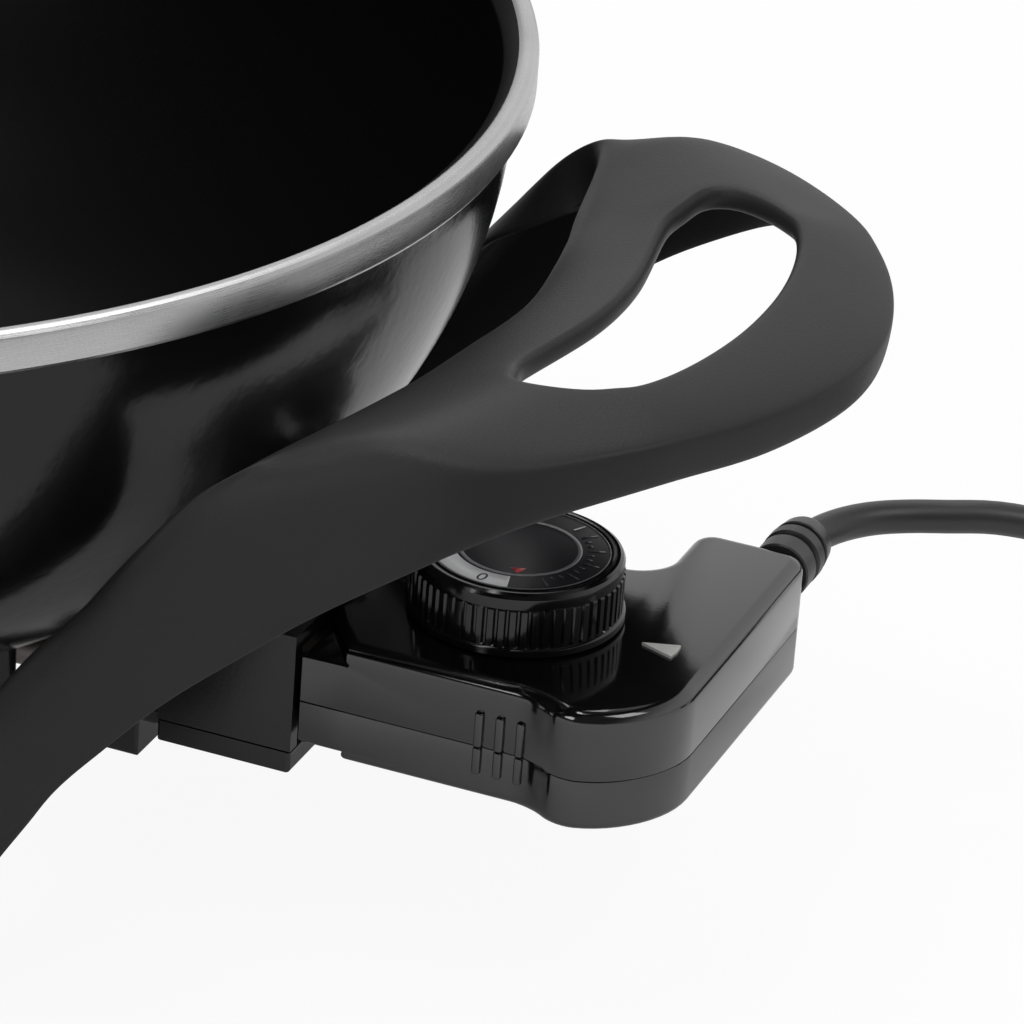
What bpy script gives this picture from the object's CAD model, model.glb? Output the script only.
import math

import bmesh
import bpy
from mathutils import Matrix, Vector


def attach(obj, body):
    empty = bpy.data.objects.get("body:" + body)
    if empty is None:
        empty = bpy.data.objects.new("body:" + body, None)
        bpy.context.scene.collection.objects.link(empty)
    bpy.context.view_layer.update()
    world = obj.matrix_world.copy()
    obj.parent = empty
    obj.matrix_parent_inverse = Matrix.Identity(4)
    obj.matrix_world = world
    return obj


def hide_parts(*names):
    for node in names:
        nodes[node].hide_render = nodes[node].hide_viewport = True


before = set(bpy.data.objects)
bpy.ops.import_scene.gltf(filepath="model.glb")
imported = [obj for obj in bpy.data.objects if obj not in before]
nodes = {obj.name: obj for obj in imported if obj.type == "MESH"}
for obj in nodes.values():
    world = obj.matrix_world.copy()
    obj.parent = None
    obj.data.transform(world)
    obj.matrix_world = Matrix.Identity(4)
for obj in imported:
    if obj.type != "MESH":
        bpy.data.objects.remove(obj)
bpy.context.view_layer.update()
scene = bpy.context.scene
scene.view_settings.view_transform = "Standard"
mm = 0.001
tiny = 1e-7  # metres, between points that are the same
print("frame loaded:", len(nodes), "nodes")


# camera, set from the bowl rim, the knob and the loop of the handle
cameraSet = {"place": (0.5213, -0.9438, 0.5765), "yaw": 110.31, "pitch": 26.27, "roll": -4.32,
             "focalPixels": 6227, "imagePixels": 1024, "sensor": 36, "clip": (0.05, 60)}


def makeCamera(s):
    yaw, pitch, roll = (math.radians(s[k]) for k in ("yaw", "pitch", "roll"))
    ahead = Vector((math.cos(pitch) * math.cos(yaw), math.cos(pitch) * math.sin(yaw), -math.sin(pitch)))
    level = Vector((math.sin(yaw), -math.cos(yaw), 0))
    down = ahead.cross(level)
    right = math.cos(roll) * level + math.sin(roll) * down
    up = math.sin(roll) * level - math.cos(roll) * down
    data = bpy.data.cameras.new("photoCamera")
    data.sensor_width = s["sensor"]
    data.lens = s["sensor"] * s["focalPixels"] / s["imagePixels"]
    data.clip_start, data.clip_end = s["clip"]
    camera = bpy.data.objects.new("photoCamera", data)
    scene.collection.objects.link(camera)
    turn = Matrix((right, up, -ahead)).transposed().to_4x4()
    camera.matrix_world = Matrix.Translation(s["place"]) @ turn
    scene.camera = camera


makeCamera(cameraSet)
print("camera set")


# a wire does plain arithmetic on a socket, a sheet adds nodes
class Wire:
    def __init__(self, sheet, socket):
        self.sheet, self.socket = sheet, socket

    def maths(self, operation, first, second=0.0, third=0.0):
        return self.sheet.add("ShaderNodeMath", {"operation": operation}, {0: first, 1: second, 2: third})[0]

    def __add__(self, other):
        return self.maths("ADD", self, other)

    def __radd__(self, other):
        return self.maths("ADD", other, self)

    def __sub__(self, other):
        return self.maths("SUBTRACT", self, other)

    def __rsub__(self, other):
        return self.maths("SUBTRACT", other, self)

    def __mul__(self, other):
        return self.maths("MULTIPLY", self, other)

    def __rmul__(self, other):
        return self.maths("MULTIPLY", other, self)

    def __pow__(self, other):
        return self.maths("POWER", self, other)

    def capped(self):
        return self.maths("MINIMUM", self, 1.0)

    def over(self, edge, soft):  # 0 below the edge, 1 above it
        return self.sheet.add("ShaderNodeMapRange", {"interpolation_type": "SMOOTHSTEP"},
                              {"Value": self, "From Min": edge - soft, "From Max": edge + soft})[0]


class NodeSheet:
    def __init__(self, tree):
        self.tree = tree
        tree.nodes.clear()

    def add(self, kind, settings, inputs):
        node = self.tree.nodes.new(kind)
        for name, value in settings.items():
            setattr(node, name, value)
        for key, value in inputs.items():
            if isinstance(value, Wire):
                self.tree.links.new(value.socket, node.inputs[key])
            else:
                node.inputs[key].default_value = value
        return [Wire(self, socket) for socket in node.outputs]

    def place(self, output="Object"):
        return next(w for w in self.add("ShaderNodeTexCoord", {}, {}) if w.socket.name == output)

    def rays(self):
        named = {w.socket.name: w for w in self.add("ShaderNodeLightPath", {}, {})}
        return [named["Is %s Ray" % kind] for kind in ("Camera", "Glossy", "Transmission")]

    def noise(self, vector, scale, detail, rough=0.5):
        return self.add("ShaderNodeTexNoise", {}, {"Vector": vector, "Scale": scale, "Detail": detail,
                                                   "Roughness": rough})[0]

    def mix(self, factor, one, two):
        return self.add("ShaderNodeMix", {"data_type": "RGBA"}, {0: factor, 6: one, 7: two})[2]

    def bump(self, height, distance, strength=1.0):
        return self.add("ShaderNodeBump", {}, {"Height": height, "Distance": distance, "Strength": strength})[0]


def grey(value):
    return (value, value, value, 1.0)


def shades(colour, dark, light):  # the colour made darker and lighter
    return [(*[min(1.0, c * k) for c in colour], 1.0) for k in (dark, light)]


def startFinish(name):
    material = bpy.data.materials.new(name)
    material.use_nodes = True
    return material, NodeSheet(material.node_tree)


def endFinish(sheet, inputs):
    surface = sheet.add("ShaderNodeBsdfPrincipled", {}, inputs)[0]
    sheet.add("ShaderNodeOutputMaterial", {}, {"Surface": surface})


# moulded plastic or rubber: fine grain, slow mottling of colour and gloss
def plasticFinish(name, colour, rough, grain, depth, spread, level=0.5):
    material, sheet = startFinish(name)
    at = sheet.place()
    broad = sheet.noise(at, scale=38, detail=3)
    fine = sheet.noise(at, scale=grain, detail=2, rough=0.6)
    dark, light = shades(colour, dark=0.82, light=1.22)
    endFinish(sheet, {"Base Color": sheet.mix(broad * 0.7 + fine * 0.3, dark, light),
                      "Roughness": rough + (broad - 0.5) * spread + (fine - 0.5) * spread,
                      "Specular IOR Level": level,
                      "Normal": sheet.bump(fine, depth)})
    return material


# rolled or drawn metal: long fine lines along one axis
def metalFinish(name, colour, rough, stretch=(60, 2400, 2400), depth=0.00001):
    material, sheet = startFinish(name)
    at = sheet.add("ShaderNodeMapping", {}, {"Vector": sheet.place(), "Scale": stretch})[0]
    lines = sheet.noise(at, scale=1.0, detail=3, rough=0.6)
    cloud = sheet.noise(sheet.place(), scale=55, detail=2)
    dark, light = shades(colour, dark=0.8, light=1.12)
    endFinish(sheet, {"Base Color": sheet.mix(lines * 0.6 + cloud * 0.4, dark, light),
                      "Metallic": 1.0,
                      "Roughness": rough + (lines - 0.5) * 0.16 + (cloud - 0.5) * 0.08,
                      "Normal": sheet.bump(lines, depth)})
    return material


# outside of the bowl: black stove enamel with a faint orange peel
def enamelFinish(name):
    material, sheet = startFinish(name)
    at = sheet.place()
    peel = sheet.noise(at, scale=420, detail=2, rough=0.45)
    broad = sheet.noise(at, scale=45, detail=2)
    endFinish(sheet, {"Base Color": sheet.mix(broad, grey(0.003), grey(0.005)),
                      "Roughness": 0.16 + broad * 0.05,
                      "Specular IOR Level": 0.3,
                      "Normal": sheet.bump(peel, distance=0.00012, strength=0.35)})
    return material


# inside of the bowl: non-stick coat with a fine sparkle
def coatFinish(name):
    material, sheet = startFinish(name)
    at = sheet.place()
    fleck = sheet.noise(at, scale=1900, detail=2, rough=0.7)
    broad = sheet.noise(at, scale=30, detail=2)
    endFinish(sheet, {"Base Color": sheet.mix(fleck.over(edge=0.66, soft=0.05) * 0.5, grey(0.0022), grey(0.008)),
                      "Roughness": 0.36 + broad * 0.08,
                      "Specular IOR Level": 0.06,
                      "Normal": sheet.bump(fleck, distance=0.00002)})
    return material


# rim band: bare aluminium, turned on a lathe
def turnedFinish(name, pitch=5200):
    material, sheet = startFinish(name)
    x, y, z = sheet.add("ShaderNodeSeparateXYZ", {}, {0: sheet.place()})
    radius = (x * x + y * y) ** 0.5
    turned = sheet.add("ShaderNodeCombineXYZ", {}, {0: radius * pitch, 1: z * pitch, 2: 0.0})[0]
    lines = sheet.noise(turned, scale=1.0, detail=2, rough=0.6)
    smear = sheet.noise(sheet.place(), scale=70, detail=3)
    endFinish(sheet, {"Base Color": sheet.mix(lines * 0.5 + smear * 0.5, grey(0.38), grey(0.54)),
                      "Metallic": 1.0,
                      "Roughness": 0.28 + (lines - 0.5) * 0.12 + (smear - 0.5) * 0.1,
                      "Normal": sheet.bump(lines, distance=0.00001)})
    return material


# plastics: colour, roughness, fineness and depth of the grain, spread of the gloss, specular level
# metals: colour, roughness
finishes = {
    "enamel": enamelFinish("bowlEnamel"),
    "coat": coatFinish("bowlCoat"),
    "rim": turnedFinish("rimTurned"),
    "frame": plasticFinish("frameGrain", (0.017, 0.017, 0.0173), 0.47, 2300, 0.00006, 0.10, 0.2),
    "frameInside": plasticFinish("frameInside", (0.004, 0.004, 0.0042), 0.6, 1500, 0.00005, 0.08, 0.12),
    "shell": plasticFinish("shellGloss", (0.004, 0.004, 0.0042), 0.11, 900, 0.000006, 0.05, 0.85),
    "housing": plasticFinish("housingGloss", (0.006, 0.006, 0.0062), 0.2, 1200, 0.00001, 0.08),
    "knob": plasticFinish("knobGloss", (0.004, 0.004, 0.0042), 0.14, 1000, 0.000008, 0.06),
    "dial": plasticFinish("dialFilm", (0.007, 0.007, 0.010), 0.38, 1500, 0.000004, 0.05, 0.25),
    "ring": plasticFinish("dialRing", (0.20, 0.20, 0.21), 0.3, 1500, 0.000004, 0.05),
    "print": plasticFinish("dialPrint", (0.72, 0.72, 0.73), 0.35, 1500, 0.000004, 0.05),
    "faint": plasticFinish("dialFaint", (0.035, 0.036, 0.055), 0.3, 1500, 0.000004, 0.05),
    "red": plasticFinish("dialRed", (0.42, 0.03, 0.025), 0.35, 1500, 0.000004, 0.05),
    "lens": plasticFinish("lensMilk", (0.50, 0.50, 0.48), 0.25, 1400, 0.000004, 0.05),
    "rubber": plasticFinish("cordRubber", (0.022, 0.022, 0.023), 0.42, 1800, 0.00003, 0.08),
    "pad": plasticFinish("padRubber", (0.02, 0.02, 0.02), 0.6, 1500, 0.00005, 0.10),
    "block": plasticFinish("blockMould", (0.05, 0.045, 0.04), 0.5, 1500, 0.00003, 0.08),
    "ceramic": plasticFinish("bushCeramic", (0.75, 0.72, 0.66), 0.4, 900, 0.00002, 0.08),
    "lamp": plasticFinish("lampGlass", (0.7, 0.35, 0.2), 0.1, 900, 0.000004, 0.04),
    "sheath": metalFinish("elementSheath", (0.20, 0.18, 0.17), 0.5),
    "sheet": metalFinish("pressedSheet", (0.55, 0.55, 0.54), 0.36),
    "zinc": metalFinish("zincScrew", (0.60, 0.60, 0.58), 0.3),
    "steel": metalFinish("probeSteel", (0.62, 0.62, 0.61), 0.28),
    "brass": metalFinish("contactBrass", (0.72, 0.55, 0.25), 0.3),
    "plated": metalFinish("platedPin", (0.72, 0.72, 0.69), 0.2),
}
print("finishes made:", len(finishes))


def showPiece(name, bm, materials, body, stands, sharp=32, levels=0):
    bmesh.ops.remove_doubles(bm, verts=bm.verts, dist=tiny)
    bmesh.ops.recalc_face_normals(bm, faces=bm.faces)
    mesh = bpy.data.meshes.new(name)
    bm.to_mesh(mesh)
    bm.free()
    for material in materials:
        mesh.materials.append(finishes[material])
    mesh.shade_smooth()
    if sharp:
        mesh.set_sharp_from_angle(angle=math.radians(sharp))
    piece = bpy.data.objects.new(name, mesh)
    scene.collection.objects.link(piece)
    if levels:
        smoother = piece.modifiers.new("smoother", "SUBSURF")
        smoother.levels = smoother.render_levels = levels
    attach(piece, body)
    if stands:
        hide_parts(*stands)
    return piece


def between(a, b, c, d, t):  # point on the smooth curve from b to c
    return 0.5 * (2 * b + (c - a) * t + (2 * a - 5 * b + 4 * c - d) * t * t + (3 * b - a - 3 * c + d) * t ** 3)


def smoothLine(points, steps):
    p = [Vector(q) for q in points]
    last = len(p) - 1
    line = [between(p[max(i - 1, 0)], p[i], p[i + 1], p[min(i + 2, last)], k / steps)
            for i in range(last) for k in range(steps)]
    return line + [p[-1]]


# skins a row of rings: the first ring is drawn, the others are extruded from it
def loftRings(bm, rings):
    verts = [bm.verts.new(p * mm) for p in rings[0]]
    edges = [bm.edges.new((verts[i], verts[(i + 1) % len(verts)])) for i in range(len(verts))]
    bmesh.ops.edgeloop_fill(bm, edges=edges)
    rows = [verts]
    for ring in rings[1:]:
        made = bmesh.ops.extrude_edge_only(bm, edges=edges)["geom"]
        fresh = {g for g in made if isinstance(g, bmesh.types.BMVert)}
        verts = [next(e.other_vert(v) for e in v.link_edges if e.other_vert(v) in fresh) for v in verts]
        for vert, p in zip(verts, ring):
            vert.co = p * mm
        edges = [bm.edges.get((verts[i], verts[(i + 1) % len(verts)])) for i in range(len(verts))]
        rows.append(verts)
    bmesh.ops.edgeloop_fill(bm, edges=edges)
    return rows


def spinProfile(bm, points, centre=(0, 0, 0), axis=(0, 0, 1), steps=96, turn=360):
    verts = [bm.verts.new(Vector(p) * mm) for p in points]
    edges = [bm.edges.new(pair) for pair in zip(verts, verts[1:])]
    bmesh.ops.spin(bm, geom=verts + edges, cent=Vector(centre) * mm, axis=axis, angle=math.radians(turn),
                   steps=steps, use_merge=turn == 360)


def roundEdges(bm, edges, offset, segments=3):
    return bmesh.ops.bevel(bm, geom=edges, offset=offset * mm, offset_type="OFFSET", segments=segments, profile=0.5,
                           affect="EDGES", material=-1, clamp_overlap=True)["faces"]


def addBox(bm, low, high, rounding=0.0):
    low, high = Vector(low), Vector(high)
    size, middle = (high - low) * mm, (high + low) * 0.5 * mm
    made = bmesh.ops.create_cube(bm, size=1.0, matrix=Matrix.Translation(middle) @ Matrix.Diagonal((*size, 1)))
    if rounding:
        roundEdges(bm, list({e for v in made["verts"] for e in v.link_edges}), rounding)
    return made


def addPost(bm, foot, radius, height, segments=32):
    foot = Vector(foot)
    middle = Matrix.Translation((foot + Vector((0, 0, height / 2))) * mm)
    return bmesh.ops.create_cone(bm, cap_ends=True, segments=segments, radius1=radius * mm, radius2=radius * mm,
                                 depth=height * mm, matrix=middle)["verts"]


# cord: straight out of the boot, one smooth run down to the floor, a coil and the plug
cordSet = {
    "diameter": 6.6, "exitZ": 55.3, "low": 3.5, "dropScale": 50, "steps": 4,  # route: x, y, drop on that scale
    "route": [(208, 44, 0), (208, 52, 0), (208, 59.5, 0), (208.9, 66.5, 0), (211.6, 73, 0), (215.9, 78.6, 0),
              (221.5, 82.9, 0), (228, 86.5, 0), (237, 91, 0), (247, 96, 2), (259, 102.5, 7), (271, 109, 15),
              (282, 114, 26), (293, 118, 38), (304, 120, 46), (315, 121, 50), (324.8, 121, 50)],
    "coilCentre": (325, 157), "coilR": 36, "pitch": 7.2, "turns": 4, "coilSteps": 24, "coilStart": -90,
    "plugZ": 19.2, "roundness": 5,
    "tail": [(0, 121, 0), (14, 120.5, 0.5), (30, 120, -1.5), (46, 120, -8)], "plugEnd": [(58, 120), (70, 120)],
}


def makeCord(s):
    drop = (s["exitZ"] - s["low"]) / s["dropScale"]
    run = smoothLine([(x, y, s["exitZ"] - d * drop) for x, y, d in s["route"]], s["steps"])
    cx, cy = s["coilCentre"]
    coil = []
    for i in range(s["coilSteps"] * s["turns"]):
        a = math.radians(i * 360 / s["coilSteps"] + s["coilStart"])
        coil.append(Vector((cx + s["coilR"] * math.cos(a), cy + s["coilR"] * math.sin(a),
                            s["low"] + s["pitch"] * i / s["coilSteps"])))
    high = s["low"] + s["turns"] * s["pitch"]
    tail = [(cx + x, y, high + z) for x, y, z in s["tail"]] + [(cx + x, y, s["plugZ"]) for x, y in s["plugEnd"]]
    points = run[:-1] + coil + smoothLine(tail, s["steps"])
    data = bpy.data.curves.new("mainsLead", "CURVE")
    data.dimensions = "3D"
    data.bevel_depth, data.bevel_resolution = s["diameter"] / 2 * mm, s["roundness"]
    data.use_fill_caps = True
    spline = data.splines.new("POLY")
    spline.points.add(len(points) - 1)
    for knot, p in zip(spline.points, points):
        knot.co = (*(p * mm), 1)
    data.materials.append(finishes["rubber"])
    lead = bpy.data.objects.new("mainsLead", data)
    scene.collection.objects.link(lead)
    length = sum((b - a).length for a, b in zip(points, points[1:])) * mm
    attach(lead, "controller")
    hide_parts("mains_cord", "cord_coil")
    points[0] * mm
    print("lead length", round(length, 3), "m")


bootSet = {"x": 208, "z": 55.3, "profile": [  # radius and distance along the cord
    (3.6, 42), (4.2, 42), (4.2, 48.1), (5.5, 48.1), (5.8, 48.4), (5.8, 52.7), (5.5, 53), (5.0, 53.1), (5.0, 54.3),
    (5.6, 54.4), (5.9, 54.7), (5.9, 57.3), (5.6, 57.6), (5.0, 57.6), (5.0, 58.9), (5.5, 59), (5.7, 59.3),
    (5.25, 62.6), (5.0, 63.3), (4.5, 63.6), (4.2, 63.5), (3.6, 60), (3.6, 42)]}


def makeBoot(s):
    bm = bmesh.new()
    spinProfile(bm, [(s["x"] + r, y, s["z"]) for r, y in s["profile"]], (s["x"], 0, s["z"]), (0, 1, 0), steps=48)
    showPiece("cordBoot", bm, ["rubber"], "controller", ["strain_relief"], sharp=40)


makeCord(cordSet)
makeBoot(bootSet)
print("cord made")


# bowl: one spun section with the bare rim band, lugs and bosses under it
bowlSet = {
    "rimH": 145.0, "band": 7.5, "sideR": 94.4, "sideCentre": (62, 137), "wall": 3.0, "steps": 220,
    "arcSteps": (30, 28), "floor": (42.6, 47.6), "floorMid": 40, "floorR": 70,
    "rimFoot": [(156.5, -0.1), (156.9, 0), (158.9, 0), (159.6, 0.25), (160, 0.9)],  # radius, height on the foot
    "rimTop": [(160, -1.4), (159.8, -0.7), (159.2, -0.2), (158.4, 0), (157.2, 0), (156.6, -0.2), (156.2, -0.5),
               (153.7, -2.8), (153.4, -3.4)],  # radius, height on the top
    "bandR": 156.35, "bandSlack": 0.01, "coatZ": 47, "coatLean": (0.02, 0.2),  # lean: inwards, upwards
    "posts": [((94, 55, 30.0), 6.0, (-1, 1)), ((129, 20, 60.0), 5.0, (1,))],  # place, radius, sides in x
    "postH": 10, "block": ((100, -9, 38), (116.5, 9, 62)), "sink": 1,
    "elementSeat": [(50.5, 43), (50.5, 37.5), (52.3, 37.5), (53, 39.6), (56, 41.2), (59, 39.6), (59.7, 37.5),
                    (61.5, 37.5), (61.5, 43)],
}


def bowlUnder(s, radius):  # height of the outer face at a radius
    middle, height = s["sideCentre"]
    return height - math.sqrt(max(0.0, s["sideR"] ** 2 - max(0.0, radius - middle) ** 2))


def reachBowl(s, verts):  # the upper end of a lug runs just into the bowl
    middle = sum(v.co.z for v in verts) / len(verts)
    for v in verts:
        if v.co.z > middle:
            v.co.z = (bowlUnder(s, math.hypot(v.co.x, v.co.y) / mm) + s["sink"]) * mm


def bowlSection(s):
    middle, height = s["sideCentre"]
    inner = s["sideR"] - s["wall"]
    outSteps, inSteps = s["arcSteps"]
    turn = [math.radians(-90 + 90 * i / outSteps) for i in range(outSteps + 1)]
    outside = [(middle + s["sideR"] * math.cos(a), height + s["sideR"] * math.sin(a)) for a in turn]
    under, floor = s["floor"]
    low = math.asin((height - floor) / inner)
    fall = [low * i / inSteps for i in range(inSteps + 1)]
    inside = [(middle + inner * math.cos(a), height - inner * math.sin(a)) for a in fall]
    rim = [(r, s["rimH"] - s["band"] + z) for r, z in s["rimFoot"]] + [(r, s["rimH"] + z) for r, z in s["rimTop"]]
    return ([(0, under), (s["floorMid"], under)] + outside + rim + inside
            + [(s["floorR"], floor), (s["floorMid"], floor), (0, floor)])


def makeBowl(s):
    bm = bmesh.new()
    spinProfile(bm, [(r, 0, z) for r, z in bowlSection(s)], steps=s["steps"])
    bmesh.ops.remove_doubles(bm, verts=bm.verts, dist=tiny)
    bmesh.ops.recalc_face_normals(bm, faces=bm.faces)
    foot = s["rimH"] - s["band"] - s["bandSlack"]
    inward, upward = s["coatLean"]
    for face in bm.faces:
        centre = face.calc_center_median() / mm
        radius = math.hypot(centre.x, centre.y)
        outward = face.normal.x * centre.x + face.normal.y * centre.y
        if centre.z > foot and radius > s["bandR"]:
            face.material_index = 1
        elif centre.z > s["coatZ"] and (outward < -inward * radius or face.normal.z > upward):
            face.material_index = 2
    for (x, y, z), radius, sides in s["posts"]:
        for sx in sides:
            for sy in (-1, 1):
                reachBowl(s, addPost(bm, (sx * x, sy * y, z), radius, s["postH"]))
    reachBowl(s, addBox(bm, *s["block"])["verts"])
    spinProfile(bm, [(r, 0, z) for r, z in s["elementSeat"]])
    showPiece("bowlShell", bm, ["enamel", "rim", "coat"], "wok", ["bowl"], sharp=24)


makeBowl(bowlSet)
print("bowl made")


# handle frames: guide lines of one strap from foot to grip as x, half width, height
frameSet = {
    "edgeIn": [(86, 89, 3), (89, 88, 21), (96, 88, 41), (104, 87, 57), (111, 86, 68), (118, 86, 78), (125, 85, 86),
               (131, 85, 94), (137, 85, 103), (144, 84, 112), (150.5, 83, 117.5), (156, 77, 121), (161.5, 62, 122),
               (166.5, 44, 122.5), (168.5, 33, 122.5), (170.5, 22, 123), (172.3, 10.5, 123), (173, 0, 123)],
    "ridge": [(93, 93, 3), (97, 92, 18), (103, 92, 35), (111, 91, 50), (119, 91, 62), (126, 90, 72), (132, 90, 80),
              (138, 89, 90), (145, 88, 103), (153, 86, 115), (164, 82, 121.5), (180, 79, 124), (197, 72, 125),
              (213.5, 57, 126.2), (221, 47, 126.5), (229, 33, 126.5), (235, 16, 126.5), (237, 0, 126.5)],
    "edgeLow": [(101, 95, 3), (105, 95, 15), (110, 95, 28), (118, 94, 42), (127, 93, 55), (134, 92, 63),
                (141, 92, 71), (148, 91, 78), (157, 91, 86), (168, 88, 95), (178, 85, 102), (189, 81, 109),
                (200, 74, 115), (214, 57, 117.5), (221, 46, 118), (228.5, 33, 118), (234, 16, 118), (236, 0, 118)],
    "holeIn": [(187.5, 46.5, 130), (185, 37, 128), (187, 24, 127.5), (189.3, 11.5, 127.5), (190, 0, 127.5)],
    "holeOut": [(200.5, 45, 130.5), (206.8, 40, 130.6), (211.5, 29, 130.6), (214.5, 14, 130.6), (215.3, 0, 130.6)],
    "legDepth": 9.4, "skirt": 12.5, "gripDepth": 5.2, "wall": 3.2, "innerWall": 1.6, "holeSoft": 2.2, "steps": 2,
    "shares": (0.38, 0.68), "crown": (7, 17, 0.6, 0.14),  # crown: first point, turn each step, lift, its growth
    "ease": (8, 23, 24),  # first row, row after the last, times smoothed
    "tie": ((89.5, -86, 22), (101, 86, 30)), "tieSoft": 1.2,
    "stages": ((3.4, 1.6), (5.7, 4), (5, 0.8)),  # growth and start of the loop, the grip and the hang of the skirt
    "lean": (0.55, 0.85), "lip": 0.9, "innerLip": (2.8, 2.4, 0.3), "holeCrown": 0.06,
    "softShare": 0.35, "softLoop": 1.4, "softCut": 0.29, "spare": 0.3,
    # ring points: 0 to 2 inner edge, 3 to 5 face, 6 to 9 ridge, 10 and 11 low edge, 12 to 17 hollow, 18 and 19 skirt
    "facePoints": (2, 10), "insidePoints": (11, 18), "hollowPoints": (12, 18),
    "follows": ((12, 11), (13, 8), (14, 5), (15, 4), (16, 3)),  # hollow point, and the point that it lies behind
    "holePoints": (3, 4, 14, 15), "holeMiddle": (4, 15), "holeRound": 0.2,
}


def bothHalves(line):
    near = [Vector((p[0], -p[1], p[2])) for p in line]
    return near + [Vector((p[0], p[1], p[2])) for p in line[-2::-1]]


# line on the face: a share of the way over the leg, then along one side of the hole
def faceLine(s, share, hole):
    line = []
    first, step, lift, growth = s["crown"]
    for i in range(len(s["ridge"]) - len(hole)):
        a, b, j = Vector(s["edgeIn"][i]), Vector(s["ridge"][i]), max(0, i - first)
        way = Vector((0, math.cos(math.radians(step * j)), math.sin(math.radians(step * j))))
        line.append(a + share * (b - a) + (lift + growth * j * j) * way)
    return line + [Vector(p) for p in hole]


# ring round the strap: inner edge a, face points p and q, ridge s, low edge b
def strapRing(k, a, p, q, s, b, depth, hang, thick, soft, run):
    w, x, v = (s - a).normalized(), (s - q).normalized(), (b - s).normalized()
    up, out = w.cross(run).normalized(), v.cross(run).normalized()
    inward, down = k["lean"]
    skirt = (-up).lerp(Vector((0, 0, -down)) - inward * w, hang)
    skirt = depth * (skirt - skirt.dot(run) * run).normalized()  # square to the strap
    lip, wall, (high, low, foot) = k["lip"], k["wall"], k["innerLip"]
    turn = lip + lip * hang
    h = (p + q) / 2 + k["holeCrown"] * (q - p).length * up
    return [a + turn / depth * skirt, a + turn * w, between(a, a, p, q, 0.5), p, h, q, between(p, q, s, s, 0.5),
            s - soft * x, s + k["softCut"] * soft * (v - x), s + soft * v, b - lip * v, b - lip * out, b - wall * out,
            s - wall * (up + out) / (1 + up.dot(out)), q - thick * up, h - thick * up, p - thick * up,
            a + high * w + thick / depth * skirt, a + low * w + skirt, a + foot * w + skirt]


def strapRings(s):
    face = [faceLine(s, share, s[side]) for share, side in zip(s["shares"], ("holeIn", "holeOut"))]
    lines = [s["edgeIn"], *face, s["ridge"], s["edgeLow"]]
    a, p, q, r, b = (smoothLine(bothHalves(line), s["steps"]) for line in lines)
    last = len(a) - 1
    rings = []
    for i in range(last + 1):
        n, m = min(i + 1, last), max(i - 1, 0)
        run = (a[n] + r[n] + b[n] - a[m] - r[m] - b[m]).normalized()
        if i in (0, last):
            run = Vector((0, 0, 1 if i == 0 else -1))  # the feet are cut level
        way = 1 - abs(2 * i / last - 1)
        loop, grip, hang = (min(1, max(0, growth * way - start)) for growth, start in s["stages"])
        depth = s["legDepth"] + (s["skirt"] - s["legDepth"]) * hang
        depth += (s["gripDepth"] - depth) * grip
        thick = s["wall"] + (s["gripDepth"] - s["wall"]) * loop
        depth = max(depth, thick + s["spare"])
        soft = s["softShare"] * min((r[i] - q[i]).length, (b[i] - r[i]).length)
        soft += (min(soft, s["softLoop"]) - soft) * loop
        rings.append(strapRing(s, a[i], p[i], q[i], r[i], b[i], depth, hang, thick, soft, run))
    return rings


def cellFace(one, two, j):  # face between two rings, from point j to the next
    corners = {one[j], one[j + 1], two[j], two[j + 1]}
    return next(f for f in one[j].link_faces if set(f.verts) == corners)


def makeFrame(name, s, stands, halfTurn):
    bm = bmesh.new()
    rows = loftRings(bm, strapRings(s))
    first = (len(s["ridge"]) - len(s["holeIn"])) * s["steps"]
    crease = bm.edges.layers.float.new("crease_edge")
    for row in (rows[0], rows[-1]):
        for i in range(len(row)):
            bm.edges.get((row[i - 1], row[i]))[crease] = 1.0
    low, high, times = s["ease"]  # the face runs smoothly from leg to loop, and its inside follows
    eased = rows[low:high] + rows[-high:-low]
    face = slice(*s["facePoints"])
    for _ in range(times):
        bmesh.ops.smooth_vert(bm, verts=[v for row in eased for v in row[face]], factor=0.5,
                              use_axis_x=True, use_axis_y=True, use_axis_z=True)
    bmesh.ops.recalc_face_normals(bm, faces=bm.faces)
    bm.normal_update()
    for row in eased:
        for under, over in s["follows"]:
            row[under].co = row[over].co - row[over].normal * s["wall"] * mm
    for row, after in zip(rows, rows[1:]):  # the hollow stays behind the inner wall
        facing = bm.faces.get((row[0], row[-1], after[-1], after[0])).normal
        for vert in row[slice(*s["hollowPoints"])]:
            past = (vert.co - row[0].co).dot(facing) + s["innerWall"] * mm
            vert.co -= max(0, past) * facing
    for j in s["holeMiddle"]:  # round ends of the hole
        for end, beyond in ((rows[first], rows[first - 1]), (rows[-first - 1], rows[-first])):
            end[j].co = end[j].co.lerp(beyond[j].co, s["holeRound"])
    inside = [cellFace(one, two, j) for one, two in zip(rows, rows[1:]) for j in range(*s["insidePoints"])]
    held = rows[first:len(rows) - first]
    cells = [cellFace(one, two, j) for one, two in zip(held, held[1:]) for j in s["holePoints"]]
    for face in inside:
        face.material_index = 1
    bmesh.ops.delete(bm, geom=cells, context="FACES")
    gap = [e for e in bm.edges if e.is_boundary]
    walls = bmesh.ops.bridge_loops(bm, edges=gap)["faces"]
    for face in roundEdges(bm, gap, s["holeSoft"]):
        face.material_index = 0
    for face in walls:
        if face.is_valid:
            face.material_index = 1
    addBox(bm, *s["tie"], s["tieSoft"])
    if halfTurn:
        bmesh.ops.rotate(bm, verts=bm.verts, cent=(0, 0, 0), matrix=Matrix.Rotation(math.pi, 3, "Z"))
    showPiece(name, bm, ["frame", "frameInside"], "wok", stands, sharp=0, levels=2)


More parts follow.
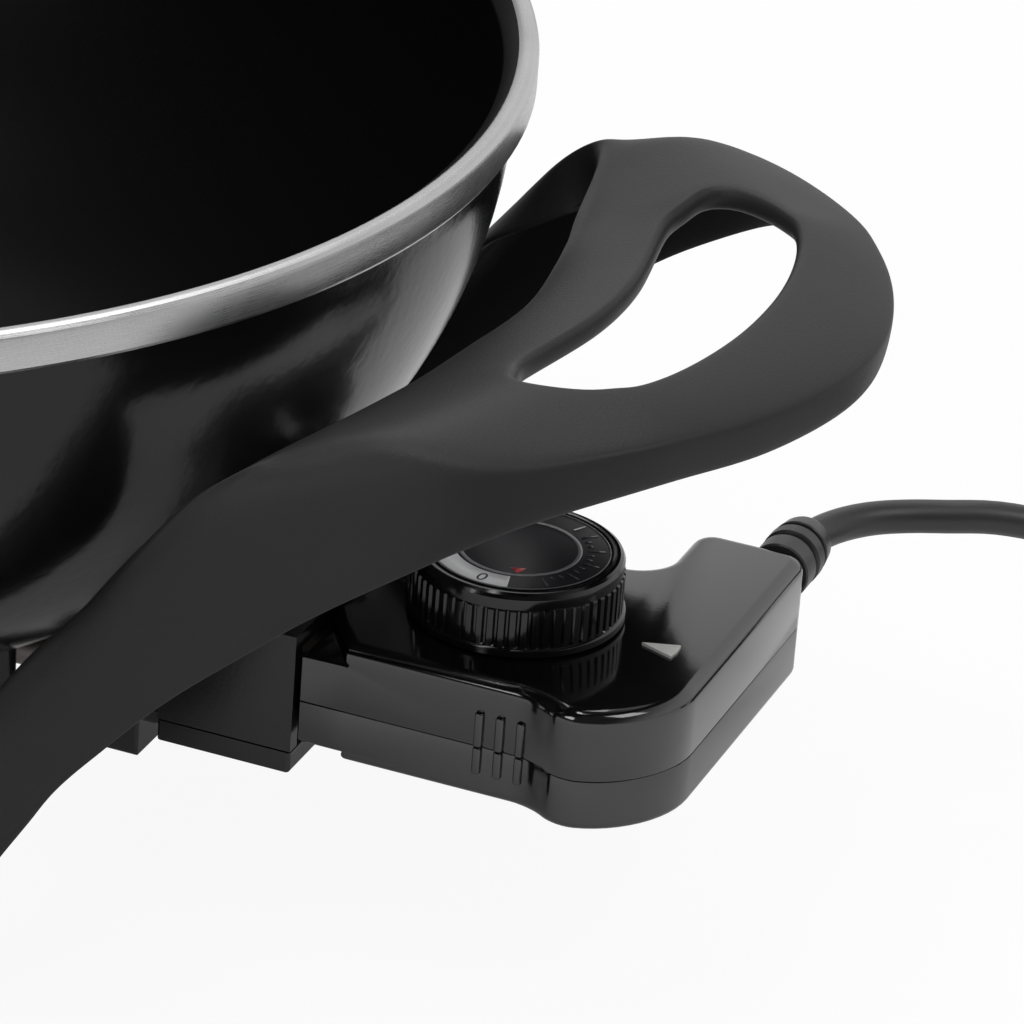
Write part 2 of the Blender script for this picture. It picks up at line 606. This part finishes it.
makeFrame("rightHandle", frameSet, ["right_frame"], False)
makeFrame("leftHandle", frameSet, ["left_frame"], True)
print("handle frames made")


# controller shells: plan drawn about the knob axis, corners rounded, then raised in two steps and rounded over
shellSet = {
    "axis": (174, 0), "seam": 47.0, "top": 60.5, "foot": 37.0, "fillet": 3.9, "footFillet": 1.4,
    "noseX": -29.5, "noseTop": 56.5, "noseFoot": 38.6, "noseSoft": 0.7, "seamSoft": 0.2,
    "largeCorner": 6, "cornerSteps": (6, 12), "filletSteps": 6, "seamSteps": 2, "upright": 0.5, "fold": 1.0,
    "plan": [(-29.5, -15, 0), (-29.5, -28, 0), (-21, -28, 0), (15.4, -28, 3.7), (22, -32.6, 3.7), (40, -26.87, 15),
             (40, 48, 4.6), (18, 48, 4.4), (18, 27, 8), (-21, 27, 0), (-29.5, 27, 0), (-29.5, 14, 0)],
    "roof": [0, 2, 3, 4, 5, 6, 7, 8, 9, 11], "roofCorners": [[0, 1, 2], [9, 10, 11]],
    "sole": [2, 3, 4, 5, 6, 7, 8, 9], "soleNose": [[0, 1, 2, 9, 10, 11]],
    "ribs": (4.4, 8.4, 12.4), "ribWide": 1.6, "ribY": (-28.8, -26), "ribUp": 7, "ribDown": 5.5, "ribSoft": 0.5,
}


def pullFaces(bm, faces, height):
    made = bmesh.ops.extrude_face_region(bm, geom=faces)["geom"]
    bmesh.ops.translate(bm, verts=[g for g in made if isinstance(g, bmesh.types.BMVert)], vec=(0, 0, height * mm))
    return [g for g in made if isinstance(g, bmesh.types.BMFace)]


def raisePlan(bm, s, main, others, levels, fillet):
    start, middle, end = levels
    corners = [bm.verts.new(((s["axis"][0] + x) * mm, (s["axis"][1] + y) * mm, start * mm)) for x, y, _ in s["plan"]]
    for loop in [main] + others:
        bm.faces.new([corners[i] for i in loop])
    few, many = s["cornerSteps"]
    for vert, (_, _, r) in zip(corners, s["plan"]):
        if r:
            bmesh.ops.bevel(bm, geom=[vert], offset=r * mm, offset_type="OFFSET", affect="VERTICES",
                            segments=many if r > s["largeCorner"] else few, profile=0.5, material=-1)
    raised = pullFaces(bm, bm.faces[:], middle - start)
    widest = max(raised, key=lambda f: f.calc_area())
    pullFaces(bm, [widest], end - middle)
    if widest.is_valid:
        bmesh.ops.delete(bm, geom=[widest], context="FACES_ONLY")
    bmesh.ops.recalc_face_normals(bm, faces=bm.faces)
    for level, offset, segments in ((end, fillet, s["filletSteps"]), (start, s["seamSoft"], s["seamSteps"])):
        level *= mm
        edges = [e for e in bm.edges if all(abs(v.co.z - level) < tiny for v in e.verts) and not e.is_boundary
                 and any(abs(f.normal.z) < s["upright"] for f in e.link_faces)]
        roundEdges(bm, edges, offset, segments)
    nose = (s["axis"][0] + s["noseX"]) * mm
    edges = [e for e in bm.edges if all(abs(v.co.z - middle * mm) < tiny for v in e.verts) and e.is_convex
             and any(abs(v.co.x - nose) < tiny for v in e.verts) and e.calc_face_angle(0) > s["fold"]]
    roundEdges(bm, edges, s["noseSoft"])


def addRibs(bm, s, low, high):
    for x in s["ribs"]:
        near, far = s["ribY"]
        left = s["axis"][0] + x
        addBox(bm, (left, near, low), (left + s["ribWide"], far, high), s["ribSoft"])


def makeShells(s):
    upper = bmesh.new()
    raisePlan(upper, s, s["roof"], s["roofCorners"], (s["seam"], s["noseTop"], s["top"]), s["fillet"])
    addRibs(upper, s, s["seam"], s["seam"] + s["ribUp"])
    showPiece("shellTop", upper, ["shell"], "controller", ["upper_shell"], sharp=24)
    lower = bmesh.new()
    raisePlan(lower, s, s["sole"], s["soleNose"], (s["seam"], s["noseFoot"], s["foot"]), s["footFillet"])
    addRibs(lower, s, s["seam"] - s["ribDown"], s["seam"])
    showPiece("shellFoot", lower, ["shell"], "controller", ["lower_shell"], sharp=24)


makeShells(shellSet)
print("controller shells made")


# knob: fluted skirt raised in rings, with a flange below and a plain band above
knobSet = {
    "axis": (174, 0), "base": 60.9, "radius": 19.5, "flutes": 60, "fluteSteps": 6, "fluteCut": 2,
    "levels": [  # height, step in from the radius, depth of the flutes
        (0.0, -0.15, 0), (0.2, -0.5, 0), (1.35, -0.5, 0), (1.6, -0.25, 0), (1.7, 0, 0), (1.95, 0, 0.5),
        (8.95, 0, 0.5), (9.2, 0.25, 0), (9.4, 0.2, 0), (11.3, 0.2, 0), (11.95, 0.55, 0), (12.3, 1.15, 0),
        (12.3, 2.2, 0), (12.15, 2.5, 0), (11.9, 2.6, 0), (11.9, 12, 0), (11.9, 19.45, 0)],
}


def makeKnob(s):
    bm = bmesh.new()
    count = s["flutes"] * s["fluteSteps"]
    rib = s["fluteSteps"] - s["fluteCut"]
    verts = bmesh.ops.create_circle(bm, cap_ends=False, segments=count, radius=1.0)["verts"]
    edges = list(bm.edges)
    for k, (z, step, cut) in enumerate(s["levels"]):
        if k:
            made = bmesh.ops.extrude_edge_only(bm, edges=edges)["geom"]
            fresh = {g for g in made if isinstance(g, bmesh.types.BMVert)}
            verts = [next(e.other_vert(v) for e in v.link_edges if e.other_vert(v) in fresh) for v in verts]
            edges = [g for g in made if isinstance(g, bmesh.types.BMEdge) and all(v in fresh for v in g.verts)]
        for i, v in enumerate(verts):
            a = 2 * math.pi * i / count
            r = s["radius"] - step - (cut if i % s["fluteSteps"] >= rib else 0)
            v.co = Vector((s["axis"][0] + r * math.cos(a), s["axis"][1] + r * math.sin(a), s["base"] + z)) * mm
    showPiece("knobBody", bm, ["knob"], "knob", ["knob"], sharp=28)


# dial: dark film with a ring, a pale sector, ticks and plain numbers
dialSet = {
    "axis": (174, 0), "top": 73.1, "radius": 16.7, "lift": 0.04, "film": 0.2, "filmSoft": 0.06, "ink": 0.03,
    "filmSteps": 128, "leastSteps": 8, "arcStep": 3,
    "ring": (10.6, 11.4), "sector": (11.9, 16.2, -140, 64), "edge": (16.35, 16.6),
    "numbers": [("0", -96, "dial"), ("1", 62, "print"), ("2", 102, "print"), ("3", 142, "print"),
                ("4", 182, "print")],
    "numberRadius": 14.1, "numberSize": 4.0,
    "ticks": [(-50 + 8 * i, 12.4, 15.6 if i % 3 == 0 else 13.6) for i in range(13)],
    "tickTurn": 1.6, "arrow": (-70, 8.2, 10.4, 1.5),  # arrow: angle, foot, tip, half width
}


def flatArc(bm, s, inner, outer, start, turn, index):
    first = len(bm.faces)
    a = math.radians(start)
    x, y = s["axis"]
    points = [(x + r * math.cos(a), y + r * math.sin(a), s["top"] + s["lift"]) for r in (inner, outer)]
    spinProfile(bm, points, (x, y, 0), steps=max(s["leastSteps"], int(turn / s["arcStep"])), turn=turn)
    bm.faces.ensure_lookup_table()
    for face in bm.faces[first:]:
        face.material_index = index


def makeDial(s):
    x, y = s["axis"]
    film = bmesh.new()
    addPost(film, (x, y, s["top"] - s["film"]), s["radius"], s["film"], s["filmSteps"])
    brim = [e for e in film.edges if len(e.link_faces[0].verts) != len(e.link_faces[1].verts)]
    roundEdges(film, brim, s["filmSoft"], segments=2)
    showPiece("dialFilm", film, ["dial"], "knob", ["knob_label"], sharp=30)

    marks = bmesh.new()
    flatArc(marks, s, *s["ring"], 0, 360, 0)
    flatArc(marks, s, *s["edge"], 0, 360, 0)
    flatArc(marks, s, *s["sector"], 1)
    for angle, inner, outer in s["ticks"]:
        flatArc(marks, s, inner, outer, angle, s["tickTurn"], 2)
    angle, inner, outer, half = s["arrow"]
    tip = bmesh.ops.create_circle(marks, cap_ends=True, segments=3, radius=1.0)["verts"]
    for face in {f for v in tip for f in v.link_faces}:
        face.material_index = 3
    turn = Matrix.Rotation(math.radians(angle), 4, "Z")
    for v, spot in zip(tip, ((outer, 0), (inner, half), (inner, -half))):
        v.co = (turn @ Vector((*spot, 0)) + Vector((x, y, s["top"] + s["lift"]))) * mm
    bmesh.ops.recalc_face_normals(marks, faces=marks.faces)
    for face in marks.faces:
        if face.normal.z < 0:
            face.normal_flip()
    marksPiece = showPiece("dialMarks", marks, ["ring", "print", "faint", "red"], "knob", [], sharp=30)
    thick = marksPiece.modifiers.new("ink", "SOLIDIFY")
    thick.thickness, thick.offset = s["ink"] * mm, 0

    for number, angle, finish in s["numbers"]:
        curve = bpy.data.curves.new("figure" + number, "FONT")
        curve.body, curve.size, curve.align_x, curve.align_y = number, s["numberSize"], "CENTER", "CENTER"
        curve.extrude = s["ink"] / 2
        draft = bpy.data.objects.new("figureDraft", curve)
        scene.collection.objects.link(draft)
        bpy.context.view_layer.update()
        mesh = bpy.data.meshes.new_from_object(draft.evaluated_get(bpy.context.evaluated_depsgraph_get()))
        bpy.data.objects.remove(draft)
        bm = bmesh.new()
        bm.from_mesh(mesh)
        spot = Matrix.Translation(Vector((x, y, s["top"] + 2 * s["lift"])) * mm)
        turn = Matrix.Rotation(math.radians(angle), 4, "Z")
        stand = Matrix.Translation((s["numberRadius"] * mm, 0, 0)) @ Matrix.Rotation(-math.pi / 2, 4, "Z")
        bmesh.ops.transform(bm, verts=bm.verts, matrix=spot @ turn @ stand @ Matrix.Scale(mm, 4))
        showPiece("dialFigure" + number, bm, [finish], "knob", [], sharp=30)


makeKnob(knobSet)
makeDial(dialSet)
print("knob and dial made")


# pieces that keep their solid get a finish, welded and with softened edges
nodeFinishes = {
    "heating_element": "sheath", "base_cover": "sheet", "cover_screws": "zinc", "frame_screws": "zinc",
    "foot_pads": "pad", "socket_housing": "housing", "socket_tray": "housing", "socket_screws": "zinc",
    "tray_screws": "zinc", "terminal_pins": "plated", "pin_bushings": "ceramic", "earth_pin": "brass",
    "shell_screws": "zinc", "contact_block": "block", "contact_sockets": "brass", "earth_socket": "brass",
    "probe_rod": "steel", "thermostat_frame": "sheet", "bimetal_blade": "brass", "switch_contacts": "plated",
    "pilot_lens": "lens", "pilot_lamp": "lamp", "cord_clamp": "block", "knob_shaft": "steel", "shaft_clip": "zinc",
    "coil_tie": "block", "plug_body": "rubber", "plug_pins": "plated"}
softEdges = {"socket_housing": 0.7, "socket_tray": 0.6, "contact_block": 0.5, "cord_clamp": 0.4, "foot_pads": 0.5,
             "pilot_lens": 0.15, "coil_tie": 0.4, "plug_body": 0.5, "base_cover": 0.3}
dressSet = {"weld": 1e-6, "steps": 3, "angle": 40}

for name, finish in nodeFinishes.items():
    node = nodes[name]
    node.data.materials.clear()
    node.data.materials.append(finishes[finish])
    weld = node.modifiers.new("weld", "WELD")
    weld.merge_threshold = dressSet["weld"]
    if name in softEdges:
        soften = node.modifiers.new("soften", "BEVEL")
        soften.width, soften.segments, soften.limit_method = softEdges[name] * mm, dressSet["steps"], "ANGLE"
        soften.angle_limit, soften.harden_normals = math.radians(dressSet["angle"]), False
print("solids dressed:", len(nodeFinishes))


# stage: pale floor, white surround that mirrors dimly from above and from the viewer's side, soft lamps
stageSet = {"floor": 14.0, "floorColour": 0.82, "floorZ": -0.0002, "floorGlow": 0.93, "floorMirror": 0.2,
            "ambient": 0.35, "dim": 0.08, "brightWay": (0.45, 0.75, -0.5), "brightEdge": (0.1, 0.45),
            # lamps: place, aim, side, watts
            "lamps": [((-0.5, 0.9, 1.6), (0.1, 0, 0.1), 1.0, 10), ((-0.35, -1.5, 0.8), (0.2, 0, 0.06), 0.6, 6),
                      ((1.2, -0.2, 1.5), (0.2, 0, 0.06), 0.7, 7), ((-0.15, -0.35, 1.6), (0.15, 0, 0.1), 0.8, 11)]}


def makeStage(s):
    bm = bmesh.new()
    bmesh.ops.create_grid(bm, x_segments=2, y_segments=2, size=s["floor"])
    mesh = bpy.data.meshes.new("paleFloor")
    bm.to_mesh(mesh)
    bm.free()
    floor = bpy.data.objects.new("paleFloor", mesh)
    floor.location.z = s["floorZ"]
    scene.collection.objects.link(floor)
    material, sheet = startFinish("paleFloor")
    eye, mirror, through = sheet.rays()
    seen = eye * s["floorGlow"] + (mirror + through) * s["floorMirror"]
    diffuse = sheet.add("ShaderNodeBsdfDiffuse", {}, {"Color": grey(s["floorColour"])})[0]
    glow = sheet.add("ShaderNodeEmission", {}, {"Color": grey(1.0), "Strength": 1.0})[0]
    both = sheet.add("ShaderNodeMixShader", {}, {0: seen.capped(), 1: diffuse, 2: glow})[0]
    sheet.add("ShaderNodeOutputMaterial", {}, {"Surface": both})
    mesh.materials.append(material)
    world = bpy.data.worlds.new("studio")
    world.use_nodes = True
    scene.world = world
    sheet = NodeSheet(world.node_tree)
    eye, mirror, through = sheet.rays()
    x, y, z = sheet.add("ShaderNodeSeparateXYZ", {}, {0: sheet.place("Generated")})
    dx, dy, dz = s["brightWay"]
    bright = s["dim"] + (1 - s["dim"]) * (x * dx + y * dy + z * dz).over(*s["brightEdge"])
    white = (eye + mirror + through).capped()
    shown = (eye + through + mirror * bright).capped()
    strength = shown + (1 - white) * s["ambient"]
    back = sheet.add("ShaderNodeBackground", {}, {"Color": grey(1.0), "Strength": strength})[0]
    sheet.add("ShaderNodeOutputWorld", {}, {"Surface": back})
    for i, (place, aim, size, power) in enumerate(s["lamps"]):
        light = bpy.data.lights.new("softLamp%d" % i, "AREA")
        light.shape, light.size, light.energy = "SQUARE", size, power
        lamp = bpy.data.objects.new("softLamp%d" % i, light)
        lamp.location = place
        lamp.rotation_mode = "QUATERNION"
        lamp.rotation_quaternion = (Vector(aim) - Vector(place)).to_track_quat("-Z", "Y")
        scene.collection.objects.link(lamp)


makeStage(stageSet)
print("stage set")
